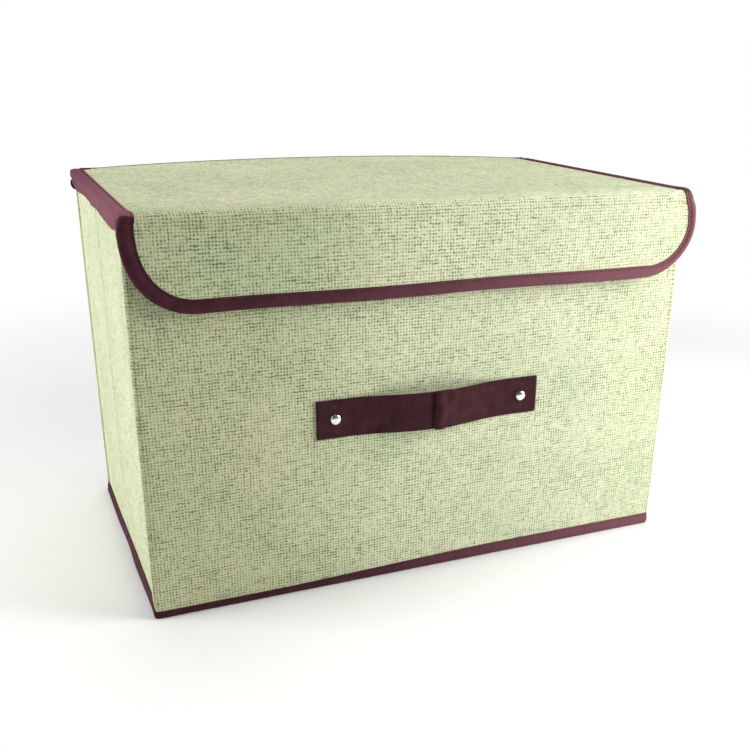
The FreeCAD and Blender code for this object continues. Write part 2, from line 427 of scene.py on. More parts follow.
def piece(name, points, faces, uvs, material, body=None, replaces=(), smooth=True):
    """One object from points, faces and a UV for each point."""
    mesh = bpy.data.meshes.new(name)
    mesh.from_pydata([tuple(p * MM) for p in points], [], faces)
    layer = mesh.uv_layers.new(name="cloth")
    for loop in mesh.loops:
        layer.data[loop.index].uv = uvs[loop.vertex_index]
    mesh.polygons.foreach_set("use_smooth", [smooth] * len(mesh.polygons))
    mesh.materials.append(material)
    mesh.validate()
    made = bpy.data.objects.new(name, mesh)
    bpy.context.collection.objects.link(made)
    if replaces:
        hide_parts(*replaces)
    if body:
        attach(made, body)
    return made


class Grids:
    """Several grids that make one piece."""

    def __init__(self):
        self.points = []
        self.faces = []
        self.uvs = []

    def add(self, rows, uvs, loop=False, caps=False):
        """Adds a grid, given as rows of points. uvs holds a UV for each, or makes it of a point."""
        if callable(uvs):
            uvs = [[uvs(p) for p in row] for row in rows]
        start = len(self.points)
        columns = len(rows[0])
        last = start + (len(rows) - 1) * columns
        for low in range(start, last, columns):
            high = low + columns
            for c in range(columns if loop else columns - 1):
                nearby = (c + 1) % columns
                self.faces.append((low + c, low + nearby, high + nearby, high + c))
        for row, row_uvs in zip(rows, uvs):
            self.points += row
            self.uvs += row_uvs
        if caps:
            self.faces.append(tuple(start + c for c in reversed(range(columns))))
            self.faces.append(tuple(last + c for c in range(columns)))
        return self

    def make(self, name, material, body=None, replaces=(), thickness=None):
        """Makes the piece. thickness is laid on the side away from the normals."""
        made = piece(name, self.points, self.faces, self.uvs, material, body, replaces)
        if thickness:
            shell = made.modifiers.new("thickness", "SOLIDIFY")
            shell.thickness = thickness * MM
            shell.offset = -1
        return made


def from_front(p):
    """The UV of a point on an upright sheet."""
    return (p.x, p.z)


def from_above(p):
    """The UV of a point on a level sheet."""
    return (p.x, p.y)


def surface(place, across, along, uv=lambda u, v: (u, v)):
    """A grid with a point place(u, v) for each u in across and v in along."""
    rows = [[place(u, v) for u in across] for v in along]
    return rows, [[uv(u, v) for u in across] for v in along]


def extrude(section, xs, pitch=1.0):
    """A grid from a section of (y, z) points, repeated at each x."""
    rows = [[Vector((x, y, z)) for y, z in section] for x in xs]
    return rows, [[(x, pitch * i) for i in range(len(section))] for x in xs]


def sweep(path, profiles):
    """Rows of points along a path, with a profile for each of its points. A path point is
    (place, inward, outward, distance), and a profile point is (in from the edge, out)."""
    rows = []
    uvs = []
    for (place, inward, outward, distance), profile in zip(path, profiles):
        lengths = [0.0]
        for (a, b), (c, d) in zip(profile, profile[1:]):
            lengths.append(lengths[-1] + hypot(c - a, d - b))
        rows.append([place + i * inward + o * outward for i, o in profile])
        uvs.append([(distance, length) for length in lengths])
    return rows, uvs


def along_path(places, inwards, outwards):
    """Path points with the distance along them. One vector stands for the same at each place."""
    if isinstance(inwards, Vector):
        inwards = [inwards] * len(places)
    if isinstance(outwards, Vector):
        outwards = [outwards] * len(places)
    path = []
    distance = 0.0
    for i, (place, inward, outward) in enumerate(zip(places, inwards, outwards)):
        if i:
            distance += (place - places[i - 1]).length
        path.append((place, inward.normalized(), outward.normalized(), distance))
    return path


def inset_path(path, insets):
    """A path moved in from its edge, by one inset for each of its points."""
    places, inwards, outwards, _ = zip(*path)
    moved = [p + inward * inset for p, inward, inset in zip(places, inwards, insets)]
    return along_path(moved, inwards, outwards)


def tangents(places):
    """The direction of a line at each of its points."""
    last = len(places) - 1
    return [places[min(last, i + 1)] - places[max(0, i - 1)] for i in range(last + 1)]


def from_table(table, y):
    """A length read from (y, length) points of falling y."""
    for (far, more), (near, less) in zip(table, table[1:]):
        if y > near:
            return mix(more, less, ease((far - y) / (far - near)))
    return table[-1][1]


# The pitch and the thread's radius of the row below the fold
HINGE_STITCH = (3.4, 0.3)
# A stitch's rings: share of its length, share of its radius, and how many radii it is sunk
STITCH = ((0, 0.3, 1.2), (0.2, 0.9, 0.2), (0.5, 1.0, 0), (0.8, 0.9, 0.2), (1, 0.3, 1.2))


def stitch_line(name, path, out, material, body, pitch=stitch_pitch, radius=thread_radius):
    """A row of sewn stitches along a path, each a small rounded bar."""
    grids = Grids()
    total = path[-1][3]
    count = max(1, int(total / pitch))
    ring = [tau * j / 6 for j in range(6)]
    index = 0
    for k in range(count):
        start = (k + 0.2) * total / count
        end = (k + 0.8) * total / count
        ends = []
        for distance in (start, end):
            while index < len(path) - 2 and path[index + 1][3] < distance:
                index += 1
            a, b = path[index], path[index + 1]
            share = (distance - a[3]) / max(1e-6, b[3] - a[3])
            place, inward, outward = (m.lerp(n, share) for m, n in zip(a[:3], b[:3]))
            ends.append((place + outward.normalized() * out, inward, outward))
        first = ends[0][0]
        inward = ends[0][1].normalized()
        outward = ends[0][2].normalized()
        rows = []
        uvs = []
        for t, size, sink in STITCH:
            centre = first.lerp(ends[1][0], t) - outward * (sink * radius)
            rows.append([centre + (inward * cos(a) + outward * sin(a)) * radius * size for a in ring])
            uvs.append([(mix(start, end, t), j * 0.2) for j in range(6)])
        grids.add(rows, uvs, loop=True, caps=True)
    return grids.make(name, material, body)


# Walls

WALLS = {
    "front": (Vector((0, -half_depth, 0)), RIGHT, -BACK),
    "back": (Vector((0, half_depth, 0)), -RIGHT, BACK),
    "left": (Vector((-half_width, 0, 0)), -BACK, -RIGHT),
    "right": (Vector((half_width, 0, 0)), BACK, RIGHT),
}
EDGES = {"base": (0, UP), "rim": (body_height, -UP)}

# Height of the rim's tape on the left side, as (y, height)
LEFT_RIM_HEIGHTS = (
    (113, 7.5), (104, 7.5), (70, 6.9), (25, 4.4), (8, 4.8), (-8, 4.8), (-16, 5.6), (-38, 4.8),
    (-64, 5.6), (-88, 6.6), (-104, 7.5), (-113, 7.5),
)


def on_wall(wall, along, out, height):
    """A point beside a wall: along it, out from its outermost face, and up."""
    origin, direction, outward = WALLS[wall]
    return origin + direction * along + outward * out + UP * height


def soften(p):
    """The small bow of a cloth-covered wall: nothing at its base and rim, and most half way up."""
    share = clamp(p.z / body_height)
    height = sin(pi * (share if p.x < 0 else share ** 0.6))
    sideways = ease((abs(p.x) / half_width - 0.9) / 0.08)
    forward = ease((abs(p.y) / half_depth - 0.9) / 0.08)
    wave = 0.25 * sin(p.y * 0.031 + 1.3) + 0.2 * sin(p.z * 0.047)
    bow_x = side_bow[1 if p.x > 0 else -1] * height * (0.75 + 0.25 * wave) * sideways
    ripple = 0.5 * sin(p.x * 0.023 + 0.7) + 0.5 * sin(p.x * 0.011 + p.z * 0.019)
    bow_y = 0.25 * height * ripple * forward
    return p + Vector((copysign(bow_x, p.x), copysign(bow_y, p.y), 0))


def wrap_stations(out, gap, radius=corner_radius):
    """Plan of a sheet that covers a long wall and turns round both its ends, as
    (along, out, distance) from one end to the other. gap is how far it lies off the ends."""
    end = half_width + gap
    turn = out - radius
    start = [(-end, 0.1 - wall_thickness), (-end, turn - 0.6)]
    start += [(-end + radius * (1 - cos(a)), turn + radius * sin(a)) for a in angles(0, 90, 6)]
    plan = start + [(a, out) for a in steps(4 - end, end - 4, 60)]
    plan += [(-a, o) for a, o in reversed(start)]
    stations = [(*plan[0], 0.0)]
    for (a, b), (c, d) in zip(plan, plan[1:]):
        stations.append((c, d, stations[-1][2] + hypot(c - a, d - b)))
    return stations


def wall_cover(wall, body):
    """The printed cover of a long wall, turned round both its ends."""
    stations = wrap_stations(cover_out, 0.3)
    shift = 0 if wall == "front" else back_print_start
    heights = steps(tape, body_height - tape, 50)
    rows = [[soften(on_wall(wall, a, o, z)) for a, o, _ in stations] for z in heights]
    uvs = [[(s + shift, z) for _, _, s in stations] for z in heights]
    Grids().add(rows, uvs).make(wall + "_cover_cloth", LINEN, body, [wall + "_cover"], cloth_thickness)


def lining_sheet(label, wall, body, start, end):
    """The plain lining on a wall's inside."""
    def place(a, z):
        return on_wall(wall, -a, lining_out, z)

    sheet = surface(place, steps(-end, -start, 24), steps(tape, body_height - tape, 24))
    name = label + "_lining"
    Grids().add(*sheet).make(name + "_cloth", LINING, body, [name], lining_thickness)


def sewn_face(width, out, sign=1, swell=0.35):
    """One face of a folded tape, from its sewn edge to its fold, as (in from the edge, out)
    points. The seam presses a groove, and the cloth swells between the groove and the fold."""
    groove = width - seam_inset
    shape = [(width, -tape), (width - 0.1, -0.2), (width - 0.5, 0)]
    shape += [(groove + 0.5, -0.08), (groove, -0.3), (groove - 0.6, -0.08)]
    shape += [(groove * 0.72, swell * 0.8), (groove * 0.45, swell), (1.0, swell * 0.3), (0.25, -0.3)]
    return [(i, out + sign * o) for i, o in shape]


def band_profile():
    """The section of a tape folded over a wall's edge, as (in from the edge, out) points."""
    middle = [(0, -0.8), (0, -wall_thickness / 2), (0, 0.8 - wall_thickness)]
    return sewn_face(base_height, 0) + middle + sewn_face(base_height, -wall_thickness, -1)[::-1]


def tape_height(edge, wall, along, out=0.0):
    """How far a wall's tape reaches from its edge. It is sewn uneven: at the base it is low on
    the front's left end and high beside it on the left side, where the rim's is uneven too."""
    if edge == "rim":
        return from_table(LEFT_RIM_HEIGHTS, -along) if wall == "left" else base_height
    if wall == "front":
        height = mix(4.8, 8.7, ease((along + 130) / 190))
        turned = ease(-out / wall_thickness) if along < 0 else 0.0
        return mix(height, left_corner_tape, turned)
    if wall == "left":
        return mix(base_height, left_side_tape, ease((along + 70) / 130))
    return base_height


def base_flare(wall, along):
    """How far the fold of a side's base tape stands out: least at the crease and at the front."""
    front = along if wall == "left" else -along
    return side_flare * mix(0.4, 1.0, ease(abs(along) / 45)) * mix(1.0, 0.3, ease((front - 20) / 80))


def shaped(profile, height, flare):
    """A band's profile made as high as height, with its fold standing out by flare."""
    shape = []
    for i, o in profile:
        outer = o > -wall_thickness / 2
        stands = flare * max(0.0, 1 - i / base_height) if outer else 0.0
        shape.append((i * height / base_height, o + stands))
    return shape


def edge_band(label, wall, body, edge, start, end, wrapped=False):
    """The tape on one edge of a wall. On a long wall its outer face turns round the ends."""
    z, inward = EDGES[edge]
    profile = band_profile()
    plan = [(a, 0.0, 0.0) for a in steps(start, end, max(2, round(abs(end - start) / 6)))]
    outward = WALLS[wall][2]
    flares = [base_flare(wall, a) if edge == "base" and not wrapped else 0.0 for a, _, _ in plan]
    path = along_path([on_wall(wall, a, 0, z) for a, _, _ in plan], inward, outward)
    inner = None
    if wrapped:
        middle = len(profile) // 2
        inner = sweep(path, [profile[middle:]] * len(path))
        profile = profile[:middle + 1]
        plan = wrap_stations(0, 0.7, corner_radius + 0.8)
        places = [on_wall(wall, a, o, z) for a, o, _ in plan]
        path = along_path(places, inward, [t.cross(UP) for t in tangents(places)])
        flares = [0.0] * len(path)
    heights = [tape_height(edge, wall, a, o) for a, o, _ in plan]
    grids = Grids().add(*sweep(path, [shaped(profile, h, f) for h, f in zip(heights, flares)]))
    if inner:
        grids.add(*inner)
    name = f"{label}_{edge}_tape"
    grids.make(name, TAPE, body, [f"{label}_{edge}_binding"], cloth_thickness)
    sewn = inset_path(path, [height - seam_inset for height in heights])
    stitch_line(name + "_stitches", sewn, seam_depth, MAROON_THREAD, body)


def make_long_walls():
    """Front and back walls."""
    inner = half_width - wall_thickness
    for wall in ("front", "back"):
        body = wall + "_wall"
        wall_cover(wall, body)
        lining_sheet(wall, wall, body, -inner, inner)
        for edge in EDGES:
            edge_band(wall, wall, body, edge, -half_width, half_width, wrapped=True)
        heights = steps(base_height, body_height - base_height, 40)
        for side, sign in SIDES:
            along = sign * (half_width - 2.4)
            seam = [soften(on_wall(wall, along, cover_out, z)) for z in heights]
            path = along_path(seam, RIGHT, WALLS[wall][2])
            stitch_line(f"{wall}_{side}_seam", path, 0.1, OLIVE_THREAD, body, radius=seam_thread_radius)


def make_side_panels():
    """The four half panels of the bellows sides."""
    for wall, sign in SIDES:
        # The shift also puts the side panels where the cover's painted shade is nil.
        shift = (2 + sign / 2) * shade_period
        for part, toward in ENDS:
            start, end = sorted([sign * toward * panel_near, sign * toward * panel_far])
            label = f"{wall}_{part}"
            body = label + "_panel"

            def place(a, z):
                return soften(on_wall(wall, a, cover_out, z))

            heights = steps(tape, body_height - tape, 50)
            sheet = surface(place, steps(start, end, 20), heights, lambda a, z: (a + shift, z))
            name = label + "_cover"
            Grids().add(*sheet).make(name + "_cloth", LINEN, body, [name], cloth_thickness)
            lining_sheet(label, wall, body, start, end)
            for edge in EDGES:
                edge_band(label, wall, body, edge, start, end)


# Lid and flap

# How far the lid's side tape hangs over the rim, as (y, droop): nothing at the rear corner, where
# a hollow is left, and little beside the crease
DROOPS = (
    (111, 0), (98, 0), (92, 4.4), (80, 5.6), (60, 5.2), (38, 3.8), (22, 3.2), (0, 3.4), (-14, 4.4),
    (-38, 3.6), (-64, 4.4), (-88, 5.2), (-104, 5.2), (-109, 4.4), (-113, 0),
)
# Wrinkles pressed into the lid's side tape, as (y, depth, width)
WRINKLES = ((-66, 1.8, 3.4), (-74, -0.4, 3.4), (-103, 1.3, 3.2))
# The seam across the lid's back, as (in from the back, above the cover, distance across it)
REAR_SEAM = ((0.9, -0.25, 0), (0.6, -0.02, 0.3), (0.3, -0.08, 0.7), (0.05, -0.3, 1.0))


def folded_outline(sign):
    """The bound edge of the lid and of the fold on one side, from the lid's rear corner to the
    fold's end, as (place, inward, outward)."""
    inward = -sign * RIGHT
    corner = 5
    stations = []
    depths = [half_depth - corner * (1 - cos(a)) for a in angles(0, 90, 6)]
    for y in depths + steps(half_depth - corner, lid_front, 90)[1:]:
        back = max(0.0, (y - half_depth + corner) / corner)
        rounded = corner * (1 - sqrt(max(0.0, 1 - back**2)))
        x = sign * (lid_half_width - 0.6 * rounded)
        stations.append((Vector((x, y, lid_high.z - 0.25 * rounded)), inward, UP))
    for angle in angles(0, 90, 2 * half_fold_steps)[1:]:
        normal = fold_normal(angle)
        place = fold_centre + RIGHT * (sign * lid_half_width) + normal * (fold_radius + tape)
        stations.append((place, inward, normal))
    return stations


def flap_edge(z, sign):
    """x of the flap's bound edge on one side, at a height."""
    radius = flap_radius[sign]
    drop = max(0.0, flap_low.z + radius - z)
    across = sqrt(max(0.0, radius**2 - drop**2))
    share = clamp((fold_centre.z - z) / (fold_centre.z - flap_low.z))
    bulge = flap_bulge[sign] * sin(pi * share ** 0.7) ** 1.3
    return sign * (lid_half_width + bulge - radius + across)


def flap_side(sign):
    """The flap's bound edge on one side, from the fold to the straight lower edge."""
    radius = flap_radius[sign]
    heights = steps(fold_centre.z, flap_low.z + radius, 12)
    heights += [flap_low.z + radius * (1 - sin(a)) for a in angles(0, 90, 18)[1:]]
    return [Vector((flap_edge(z, sign), flap_low.y, z)) for z in heights]


def flap_outline():
    """The flap's bound edge, from the fold on the left round to the fold on the right, as
    (place, inward, outward)."""
    left = flap_side(-1)
    right = flap_side(1)[::-1]
    between = steps(left[-1].x, right[0].x, 60)[1:-1]
    places = []
    for p in left + [Vector((x, flap_low.y, flap_low.z)) for x in between] + right:
        wave = 0.35 * sin(p.x * 0.037) * ease((lid_half_width - abs(p.x)) / 50)
        places.append(p + UP * wave)
    return [(p, -BACK.cross(t), -BACK) for p, t in zip(places, tangents(places))]


def tape_width(p):
    """The tape is sewn wider on the flap's left than on its right, and wide on the lid."""
    left = ease((-p.x - 150) / 40)
    right = ease((p.x - 150) / 40) * ease((lid_front + 40 - p.y) / 40)
    return binding_width + 0.9 * left - 1.9 * right


def drawn(p):
    """How far the side of the fold is drawn in beside a point: most at the middle of the fold,
    and nothing where the lid and the flap are flat."""
    forward = ease((lid_front + 6 - p.y) / 9)
    below = ease((fold_high.z - 0.3 - p.z) / 12.5)
    return fold_inset * forward * (1 - below)


def drawn_in(p):
    """A point of a cover or lining, moved with the side of the fold."""
    near = ease((abs(p.x) / lid_half_width - 0.9) / 0.1)
    return p - RIGHT * copysign(drawn(p) * near, p.x)


def crown(x, y):
    """How far the lid's cover stands off its board."""
    across = max(0.0, 1 - (x / (lid_half_width - binding_width)) ** 2)
    back = clamp((y - lid_front) / (half_depth - lid_front))
    return lid_crown * across ** 0.8 * back ** 1.6


def pillow(x, z):
    """The flap cover's small swell over its board. Negative is outward."""
    share = clamp((fold_centre.z - z) / (fold_centre.z - flap_low.z))
    swell = sin(pi * share) * max(0.0, 1 - (x / lid_half_width) ** 4)
    return -0.5 * swell * (0.8 + 0.2 * sin(x * 0.029 + 2))


def rolled_profile(width, thickness, swell, droop, dent, inset):
    """The section of the lid's and the flap's tape, which is soft and rolls over their edge.
    swell is how far its face stands up, droop how far its outer side hangs below the underside,
    dent a wrinkle's depth, and inset how far it is drawn in by the fold."""
    width -= inset / 3
    low = -thickness - droop
    lip = min(1.1, droop)
    roll = [(dent * 0.3 - 0.15, -0.9), (dent - 0.35, low * 0.35), (dent - 0.4, low * 0.6)]
    roll += [(dent * 0.6 - 0.3, low + 0.9), (-0.05, low + 0.3), (0.3, low), (0.75, low + 0.1)]
    roll += [(1.1, low + 0.2 + lip * 0.6), (1.25, -thickness - 0.02)]
    under = sewn_face(width, -thickness, -1, 0.1)[-3::-1]
    return [(i + inset, o) for i, o in sewn_face(width, 0, 1, swell) + roll + under]


def stitched_edge(name, path, body):
    """The stitches along the sewn edge of the lid's or the flap's tape."""
    insets = [tape_width(p) - seam_inset + drawn(p) * 2 / 3 for p, _, _, _ in path]
    stitch_line(name, inset_path(path, insets), seam_depth, MAROON_THREAD, body)


def make_lid():
    """The lid's cover and lining."""
    edge = lid_half_width - cover_inset
    back_length = half_depth - lid_front

    def over_lid(x, s):
        if s <= back_length:
            y = half_depth - tape - s * (back_length - tape) / back_length
            under_tape = 0.7 * ease((x - lid_half_width + 12) / 7)
            return drawn_in(Vector((x, y, lid_cover_top + crown(x, y) - under_tape)))
        normal = fold_normal((s - back_length) / fold_radius)
        return drawn_in(fold_centre + RIGHT * x + normal * fold_radius)

    along = steps(0, back_length, 40) + [back_length + a * fold_radius for a in angles(0, 45, 6)[1:]]
    sheet = surface(over_lid, steps(edge, -edge, 60), along, lambda x, s: (x + lid_print_start, -s))
    cover = Grids().add(*sheet).make("lid_cover_cloth", LINEN, "lid", ["lid_cover"], lid_cloth_thickness)
    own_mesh(cover)

    def inside(x, at):
        y, z = at
        return drawn_in(Vector((x if y >= lid_front else x * fold_lining_share, y, z)))

    under = lid_low.z + tape
    turn_y, turn_z = fold_turn.yz
    section = [(turn_y, turn_z), (turn_y + 0.9, turn_z - 0.85)]
    section += [(turn_y + 1.9, under + 0.4), (turn_y + 3.0, under + 0.05)]
    section += [(y, under) for y in steps(lid_front, half_depth - tape, 24)]
    reach = lid_half_width - lid_lining_inset
    sheet = surface(inside, steps(-reach, reach, 40), section, lambda x, at: (x, sum(at)))
    Grids().add(*sheet).make("lid_lining_cloth", LINING, "lid", ["lid_lining"], lining_thickness)


def make_lid_bindings():
    """The tape on the lid's sides, as far as the middle of the fold, and across its back."""
    for side, sign in SIDES:
        places, inwards, normals = zip(*folded_outline(sign)[:-half_fold_steps])
        if sign > 0:
            places = [p - UP * 0.5 * ease((p.y - lid_front) / 20) for p in places]
        path = along_path(places, inwards, normals)
        profiles = []
        for place, _, normal, _ in path:
            flat = normal.z > 0.999
            share = ease((lid_front + 10 - place.y) / 10) if flat else 1.0
            thickness = mix(place.z - lid_low.z, fold_thickness, share)
            folds = [depth * exp(-((place.y - at) / width) ** 2) for at, depth, width in WRINKLES]
            ripple = 0.12 * sin(place.y * 0.118) + 0.1 * sin(place.y * 0.057 + 2)
            dent = ripple + sum(folds) if flat else 0.0
            droop = from_table(DROOPS, place.y)
            shape = (tape_width(place), thickness, lid_swell[sign], droop, dent, drawn(place))
            profiles.append(rolled_profile(*shape))
        rows, uvs = sweep(path, profiles)
        # The left tape is moved along the painted sheen ramp, so it is painted paler.
        if sign < 0:
            uvs = [[(u + lid_tape_sheen_start, v) for u, v in row] for row in uvs]
        name = f"lid_{side}_tape"
        Grids().add(rows, uvs, caps=True).make(name, TAPE, "lid", [f"lid_{side}_binding"])
        stitched_edge(name + "_stitches", path[6:], "lid")

    back = half_depth
    width = lid_high.y - lid_low.y
    section = [(back - width, lid_cover_top - 0.1), (back - 3, lid_high.z - 0.1)]
    section += [(back - 0.7, lid_high.z - 0.1), (back - 0.1, lid_high.z - 0.6)]
    section += [(back, mix(lid_low.z, lid_high.z, 0.5)), (back - 0.1, lid_low.z + 0.6)]
    section += [(back - 0.7, lid_low.z), (back - width + 0.4, lid_low.z)]
    section += [(back - width, lid_low.z + tape)]
    reach = lid_half_width - rear_binding_inset
    tube = Grids().add(*extrude(section, steps(-reach, reach, 80), 1.2), caps=True)
    tube.make("lid_rear_tape", TAPE, "lid", ["lid_rear_binding"])

    rows = []
    uvs = []
    for x in steps(3 - lid_half_width, lid_half_width - 3, 90):
        top = lid_cover_top + crown(x, back)
        row = [Vector((x, back - inset, top + rise)) for inset, rise, _ in REAR_SEAM]
        rows.append(row + [Vector((x, back - 0.05, lid_cover_top - 0.3))])
        uvs.append([(x, distance) for _, _, distance in REAR_SEAM] + [(x, 4)])
    seam = Grids().add(rows, uvs).make("lid_rear_seam", TAPE, "lid", (), cloth_thickness)
    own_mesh(seam)


def make_flap():
    """The flap's half of the fold, its cover, lining and bound edge."""
    depth = fold_centre.z - flap_low.z - cover_inset
    radius = flap_radius[-1]
    drops = steps(0, depth - radius, 14)
    drops += [depth - radius * (1 - sin(a)) for a in angles(0, 90, 24)[1:]]
    columns = steps(1, -1, 80)
    start = half_depth - lid_front
    half = lid_half_width - cover_inset

    def across(c, z, y):
        left = flap_edge(z, -1) + cover_inset
        right = flap_edge(z, 1) - cover_inset
        return drawn_in(Vector((mix(left, right, (c + 1) / 2), y, z)))

    rows = []
    uvs = []
    for angle in angles(45, 90, 6)[:-1]:
        centre = fold_centre + fold_normal(angle) * fold_radius
        rows.append([drawn_in(centre + RIGHT * (c * half)) for c in columns])
        uvs.append([(p.x + lid_print_start, -(start + angle * fold_radius)) for p in rows[-1]])
    for drop in drops:
        z = fold_centre.z - drop
        row = [across(c, z, flap_face) for c in columns]
        rows.append([p + BACK * pillow(p.x, z) for p in row])
        length = start + pi / 2 * fold_radius + drop
        uvs.append([(p.x + lid_print_start, -length) for p in row])
    nodes = ["flap_cover", "flap_fold_cloth"]
    Grids().add(rows, uvs).make("flap_cover_cloth", LINEN, "flap", nodes, lid_cloth_thickness)

    inner = flap_high.y - tape
    turn_y, turn_z = fold_turn.yz
    section = [(turn_z, turn_y), (turn_z - 1.1, turn_y + 0.6)]
    section += [(turn_z - 2.4, mix(turn_y, inner, 0.85)), (turn_z - 3.6, inner)]
    section += [(fold_centre.z - drop, inner) for drop in drops if drop > 0.8]
    rows = []
    for z, y in section:
        share = 1.0 if y == inner else fold_lining_share
        rows.append([across(-c * share, z, y) for c in columns])
    sheet = Grids().add(rows, from_front)
    sheet.make("flap_lining_cloth", LINING, "flap", ["flap_lining"], lining_thickness)

    left = folded_outline(-1)[-1 - half_fold_steps:-1]
    right = [[Vector((-v.x, v.y, v.z)) for v in station] for station in reversed(left)]
    path = along_path(*zip(*left, *flap_outline(), *right))
    profiles = []
    for place, _, _, distance in path:
        share = ease((fold_centre.z - place.z) / 10)
        dent = 0.1 * sin(distance * 0.13) + 0.08 * sin(distance * 0.047 + 1)
        thickness = mix(fold_thickness, flap_thickness, share)
        swell = mix(0.3, 0.7, share) if place.x > 0 else 0.7
        shape = (tape_width(place), thickness, swell, 0.0, dent * share, drawn(place))
        profiles.append(rolled_profile(*shape))
    rows, uvs = sweep(path, profiles)
    Grids().add(rows, uvs, caps=True).make("flap_tape", TAPE, "flap", ["flap_binding"])
    stitched_edge("flap_tape_stitches", path, "flap")

    half = lid_half_width - binding_width
    places = [Vector((x, flap_face, fold_centre.z - 1)) for x in steps(-half, half, 60)]
    path = along_path(places, UP, -BACK)
    stitch_line("flap_hinge_stitches", path, 0.05, OLIVE_THREAD, "flap", *HINGE_STITCH)


def slab(name, outline, thickness, body, node):
    """A flat board from its outline and the vector through its thickness."""
    count = len(outline)
    points = outline + [p + thickness for p in outline]
    faces = [tuple(range(count)), tuple(reversed(range(count, 2 * count)))]
    faces += [(i, i + count, (i + 1) % count + count, (i + 1) % count) for i in range(count)]
    piece(name, points, faces, [from_front(p) for p in points], BOARD, body, [node], smooth=False)


def make_lid_boards():
    """The boards of the lid and the flap, with the corners beside the fold cut to its shape. The
    lid's is narrower than its solid, to lie inside the wrinkles of the tape."""
    low, high = box("lid_board")
    sides = []
    for sign in (-1, 1):
        edge = [Vector((sign * high.x, y, high.z)) for y in steps(low.y, low.y + 16, 12) + [high.y]]
        sides.append([p - RIGHT * (sign * (drawn(p) + lid_board_inset)) - UP * 0.5 for p in edge])
    outline = sides[0] + sides[1][::-1]
    slab("lid_board_cut", outline, UP * (low.z - outline[0].z), "lid", "lid_board")

    low, high = box("flap_board")
    sides = []
    for sign in (-1, 1):
        edge = [Vector((flap_edge(high.z, sign), flap_low.y, high.z))]
        edge += [p for p in flap_side(sign) if p.z < high.z]
        xs = [p.x - sign * (drawn(p) + flap_board_inset) for p in edge]
        sides.append([Vector((x, low.y, max(p.z, low.z + 0.6))) for x, p in zip(xs, edge)])
    outline = sides[0] + sides[1][::-1]
    slab("flap_board_cut", outline, BACK * (high.y - low.y), "flap", "flap_board")


def make_hinge_tape():
    """The tape behind the box, with a round bound edge on the lid's hinge line, and its ends
    turned round the rear corners, where they stand open."""
    low, high = box("lid_hinge_tape")
    radius = 0.55
    section = [(high.y - 0.1, low.z), (high.y, low.z + 0.6), (high.y, high.z - 2), (high.y, high.z)]
    for angle in angles(0, 180, 8)[1:-1]:
        section.append((high.y - radius + radius * cos(angle), high.z + radius * sin(angle)))
    section.append((high.y - 2 * radius, high.z))
    sheet = Grids().add(*extrude(section, steps(low.x, high.x, 60)))
    sheet.make("hinge_tape_cloth", TAPE, "back_wall", ["lid_hinge_tape"], cloth_thickness)
    places = [Vector((x, high.y, low.z + 1.6)) for x in steps(low.x + 2, high.x - 2, 60)]
    path = along_path(places, UP, BACK)
    stitch_line("hinge_tape_stitches", path, 0.1, MAROON_THREAD, "back_wall")

    foot = low.z + 0.6
    head = body_height - 0.1
    for side, sign in SIDES:
        rows = []
        uvs = []
        for y in steps(high.y, half_depth - hinge_tape_end, 12):
            stands = mix(0.6, hinge_tape_opening, ease((high.y - y) / 9))
            row = []
            for angle in angles(0, 180, 12):
                x = half_width + 0.2 + stands * max(0.0, sin(angle)) ** 0.8
                row.append(Vector((sign * x, y, mix(foot, head, (1 - cos(angle)) / 2))))
            rows.append(row[::-sign])
            uvs.append([(y, i) for i in range(len(row))])
        sheet = Grids().add(rows, uvs)
        sheet.make(f"hinge_tape_{side}_end", TAPE, "back_wall", (), 2 * cloth_thickness)


# Strap and rivets

strap_low, strap_high = box("strap_tab_left")
strap_end = -strap_low.x
strap_seam = -strap_high.x
strap_face = strap_low.y
strap_thickness = strap_high.y - strap_low.y
strap_middle = mix(strap_low.z, strap_high.z, 0.5)
strap_height = strap_high.z - strap_low.z
strap_peak = box("strap_grip")[0].y
grip_half = box("strap_grip")[1].x


def strap_line(x):
    """The strap's outer face, seen from above: flat on its tabs, and standing off between them."""
    share = clamp((strap_seam - abs(x)) / (strap_seam - 6))
    return mix(strap_face, strap_peak, share - 0.08 * sin(tau * share))


def crease(x, h):
    """Slack creases on the strap's face, away from its tabs."""
    loose = ease((strap_seam - abs(x)) / 8) * ease((strap_height / 2 - abs(h)) / 4)
    slanted = sin((x * 0.8 + h * 1.1) * 0.27 + 1.0) * sin(x * 0.095 + 0.4)
    rising = max(0.0, sin((x * 0.9 - h) * 0.21 + 0.6)) ** 3 * sin(x * 0.061 + 1.1)
    fine = sin((x - h * 0.7) * 0.72) * sin(h * 0.26 + x * 0.14)
    return (0.34 * slanted + 0.55 * rising + 0.12 * fine) * loose


def strap_piece(name, stations, replaces):
    """A length of doubled strap through stations of (x, y), hemmed and slightly creased."""
    half = strap_height / 2
    across = [-half, 0.3 - half, 1.0 - half] + steps(hem - half, half - hem, 14)
    across += [half - 1.0, half - 0.3, half]
    faces = [(1, h) for h in across] + [(-1, h) for h in reversed(across)]
    line = [Vector((x, y, 0)) for x, y in stations]
    rows = []
    uvs = []
    distance = 0.0
    for i, (p, tangent) in enumerate(zip(line, tangents(line))):
        normal = tangent.normalized().cross(UP)
        if i:
            distance += (p - line[i - 1]).length
        ring = []
        for face, h in faces:
            rim = half - abs(h)
            edge = max(0.0, 1 - rim)
            groove = 0.12 * exp(-((rim - hem) / 0.5) ** 2)
            depth = strap_thickness / 2 * sqrt(max(0.04, 1 - edge**2)) - groove
            bend = crease(p.x, h) if face > 0 else 0.0
            ring.append(p + UP * (strap_middle + h) + normal * (face * depth + bend))
        rows.append(ring)
        uvs.append([(distance + strap_back_start * (face < 0), h) for face, h in faces])
    return Grids().add(rows, uvs, loop=True, caps=True).make(name, STRAP, None, replaces)


